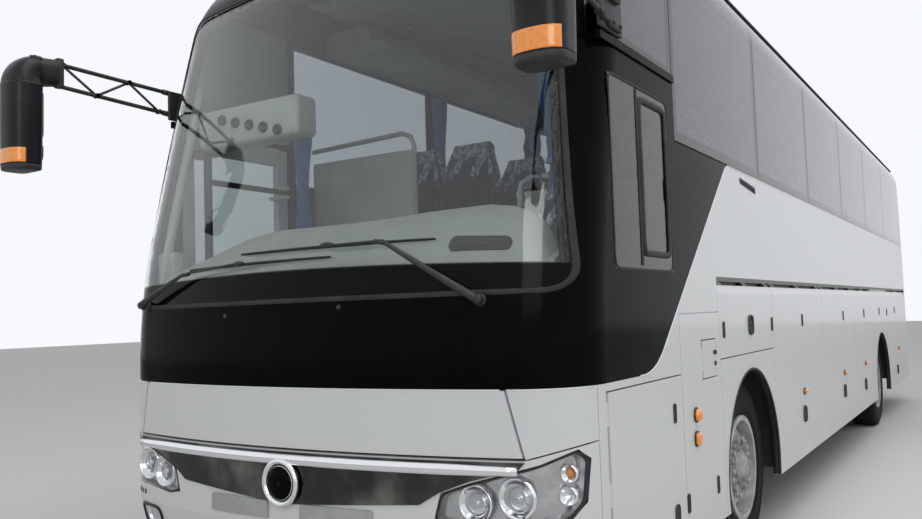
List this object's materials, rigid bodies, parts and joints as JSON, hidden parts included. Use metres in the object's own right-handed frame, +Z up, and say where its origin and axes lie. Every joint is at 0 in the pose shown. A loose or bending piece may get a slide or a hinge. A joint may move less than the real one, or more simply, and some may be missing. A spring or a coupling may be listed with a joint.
{
  "type": "coach_bus",
  "caption": "Touring coach with a tall leaning windscreen, black glazed upper body, white lower body, luggage doors and tubular mirror arms",
  "frame": {"origin": "on the ground in the midplane, under the middle of the overall length with the mirrors", "axes": "+X points forward, +Y to the left of the coach, +Z up"},
  "size_m": [12.375, 3.03, 3.69],
  "materials": {
    "white_paint": "gloss",
    "black_paint": "gloss",
    "dark_glass": "gloss",
    "clear_glass": "gloss",
    "chrome_trim": "gloss",
    "lamp_glass": "gloss",
    "red_lamp": "gloss",
    "tyre_rubber": "matt",
    "steel_rim": "satin",
    "frame_steel": "matt",
    "dark_plastic": "matt",
    "mirror_plastic": "satin",
    "grey_floor": "matt",
    "seat_fabric": "matt",
    "engine_iron": "matt",
    "black_rubber": "matt"
  },
  "bodies": {
    "coach": {"cabin_floor": "grey_floor", "chassis_frame": "frame_steel", "dashboard": "dark_plastic", "driver_seat": "seat_fabric", "engine": "engine_iron", "front_axle": "frame_steel", "front_bumper": "white_paint", "front_corner_panels": "white_paint", "front_mask": "black_paint", "grille_bar": "chrome_trim", "headlamps": "lamp_glass", "mirror_left": "mirror_plastic", "mirror_right": "mirror_plastic", "rear_axle": "frame_steel", "rear_bumper": "white_paint", "rear_wall": "white_paint", "rear_window": "dark_glass", "roof": "white_paint", "roof_ac": "white_paint", "roof_hatches": "white_paint", "seats_left": "seat_fabric", "seats_right": "seat_fabric", "side_glass": "dark_glass", "side_panel_left": "white_paint", "side_panel_right": "white_paint", "side_wall_left": "black_paint", "side_wall_right": "black_paint", "tail_lamps": "red_lamp", "wheel_arch_liners": "dark_plastic", "windscreen": "clear_glass", "wipers": "black_rubber"},
    "knuckle_left": {"knuckle_left": "frame_steel"},
    "knuckle_right": {"knuckle_right": "frame_steel"},
    "wheel_front_left": {"tyre_front_left": "tyre_rubber", "rim_front_left": "steel_rim"},
    "wheel_front_right": {"tyre_front_right": "tyre_rubber", "rim_front_right": "steel_rim"},
    "wheel_rear_left": {"tyres_rear_left": "tyre_rubber", "rims_rear_left": "steel_rim"},
    "wheel_rear_right": {"tyres_rear_right": "tyre_rubber", "rims_rear_right": "steel_rim"},
    "steering_wheel": {"steering_wheel": "dark_plastic"},
    "service_door": {"service_door": "white_paint"},
    "engine_lid": {"engine_lid": "white_paint"},
    "flap_arms": {"flap_arms": "frame_steel"},
    "front_flap": {"front_flap": "white_paint"},
    "door_arms": {"door_arms": "frame_steel"},
    "fuel_flap": {"fuel_flap": "white_paint"},
    "entrance_door": {"entrance_door": "white_paint", "entrance_glass": "dark_glass"},
    "luggage_door_front_left": {"luggage_door_front_left": "white_paint"},
    "luggage_door_middle_left": {"luggage_door_middle_left": "white_paint"},
    "luggage_door_rear_left": {"luggage_door_rear_left": "white_paint"},
    "engine_door_left": {"engine_door_left": "white_paint"},
    "arch_hatch_left": {"arch_hatch_left": "white_paint"},
    "luggage_door_front_right": {"luggage_door_front_right": "white_paint"},
    "luggage_door_middle_right": {"luggage_door_middle_right": "white_paint"},
    "luggage_door_rear_right": {"luggage_door_rear_right": "white_paint"},
    "engine_door_right": {"engine_door_right": "white_paint"},
    "arch_hatch_right": {"arch_hatch_right": "white_paint"}
  },
  "joints": [
    {"name": "steer_left", "type": "hinge", "parent": "coach", "child": "knuckle_left", "pos_m": [3.19, 0.88, 0.515], "axis": [0, 0, 1], "range_deg": [-42, 42]},
    {"name": "steer_right", "type": "hinge", "parent": "coach", "child": "knuckle_right", "pos_m": [3.19, -0.88, 0.515], "axis": [0, 0, 1], "range_deg": [-42, 42]},
    {"name": "spin_front_left", "type": "hinge", "parent": "knuckle_left", "child": "wheel_front_left", "pos_m": [3.19, 1.055, 0.515], "axis": [0, 1, 0], "continuous": true},
    {"name": "spin_front_right", "type": "hinge", "parent": "knuckle_right", "child": "wheel_front_right", "pos_m": [3.19, -1.055, 0.515], "axis": [0, 1, 0], "continuous": true},
    {"name": "spin_rear_left", "type": "hinge", "parent": "coach", "child": "wheel_rear_left", "pos_m": [-2.96, 1.055, 0.515], "axis": [0, 1, 0], "continuous": true},
    {"name": "spin_rear_right", "type": "hinge", "parent": "coach", "child": "wheel_rear_right", "pos_m": [-2.96, -1.055, 0.515], "axis": [0, 1, 0], "continuous": true},
    {"name": "steering_turn", "type": "hinge", "parent": "coach", "child": "steering_wheel", "pos_m": [5.13, 0.7, 1.79], "axis": [-0.4695, 0, 0.8829], "range_deg": [-756, 756]},
    {"name": "open_luggage_door_front_left", "type": "hinge", "parent": "coach", "child": "luggage_door_front_left", "pos_m": [1.71, 1.255, 1.598], "axis": [1, 0, 0], "range_deg": [0, 88]},
    {"name": "open_luggage_door_front_right", "type": "hinge", "parent": "coach", "child": "luggage_door_front_right", "pos_m": [1.71, -1.255, 1.598], "axis": [-1, 0, 0], "range_deg": [0, 88]},
    {"name": "open_luggage_door_middle_left", "type": "hinge", "parent": "coach", "child": "luggage_door_middle_left", "pos_m": [-0.04, 1.255, 1.598], "axis": [1, 0, 0], "range_deg": [0, 88]},
    {"name": "open_luggage_door_middle_right", "type": "hinge", "parent": "coach", "child": "luggage_door_middle_right", "pos_m": [-0.04, -1.255, 1.598], "axis": [-1, 0, 0], "range_deg": [0, 88]},
    {"name": "open_luggage_door_rear_left", "type": "hinge", "parent": "coach", "child": "luggage_door_rear_left", "pos_m": [-1.575, 1.255, 1.598], "axis": [1, 0, 0], "range_deg": [0, 88]},
    {"name": "open_luggage_door_rear_right", "type": "hinge", "parent": "coach", "child": "luggage_door_rear_right", "pos_m": [-1.575, -1.255, 1.598], "axis": [-1, 0, 0], "range_deg": [0, 88]},
    {"name": "open_engine_door_left", "type": "hinge", "parent": "coach", "child": "engine_door_left", "pos_m": [-4.695, 1.255, 1.598], "axis": [1, 0, 0], "range_deg": [0, 88]},
    {"name": "open_engine_door_right", "type": "hinge", "parent": "coach", "child": "engine_door_right", "pos_m": [-4.695, -1.255, 1.598], "axis": [-1, 0, 0], "range_deg": [0, 88]},
    {"name": "open_arch_hatch_left", "type": "hinge", "parent": "coach", "child": "arch_hatch_left", "pos_m": [3.215, 1.255, 1.598], "axis": [1, 0, 0], "range_deg": [0, 88]},
    {"name": "open_arch_hatch_right", "type": "hinge", "parent": "coach", "child": "arch_hatch_right", "pos_m": [3.215, -1.255, 1.598], "axis": [-1, 0, 0], "range_deg": [0, 88]},
    {"name": "open_service_door", "type": "hinge", "parent": "coach", "child": "service_door", "pos_m": [5.378, 1.267, 0.7695], "axis": [0, 0, -1], "range_deg": [0, 88]},
    {"name": "open_fuel_flap", "type": "hinge", "parent": "coach", "child": "fuel_flap", "pos_m": [4.158, 1.267, 1.21], "axis": [0, 0, -1], "range_deg": [0, 88]},
    {"name": "open_engine_lid", "type": "hinge", "parent": "coach", "child": "engine_lid", "pos_m": [-6.17, 0, 1.658], "axis": [0, 1, 0], "range_deg": [0, 88]},
    {"name": "swing_flap_arms", "type": "hinge", "parent": "coach", "child": "flap_arms", "pos_m": [5.64, 0, 1.14], "axis": [0, -1, 0], "range_deg": [0, 95]},
    {"name": "level_front_flap", "type": "hinge", "parent": "flap_arms", "child": "front_flap", "pos_m": [5.64, 0, 0.97], "axis": [0, -1, 0], "range_deg": [-95, 0]},
    {"name": "swing_door_arms", "type": "hinge", "parent": "coach", "child": "door_arms", "pos_m": [5.21, -1.11, 1.56], "axis": [0, 0, 1], "range_deg": [0, 100]},
    {"name": "level_entrance_door", "type": "hinge", "parent": "door_arms", "child": "entrance_door", "pos_m": [4.61, -1.11, 1.56], "axis": [0, 0, 1], "range_deg": [-100, 0]}
  ],
  "couplings": [
    {"joint": "steer_right", "follows": "steer_left", "ratio": 1},
    {"joint": "steering_turn", "follows": "steer_left", "ratio": 18},
    {"joint": "level_front_flap", "follows": "swing_flap_arms", "ratio": -1},
    {"joint": "level_entrance_door", "follows": "swing_door_arms", "ratio": -1}
  ]
}
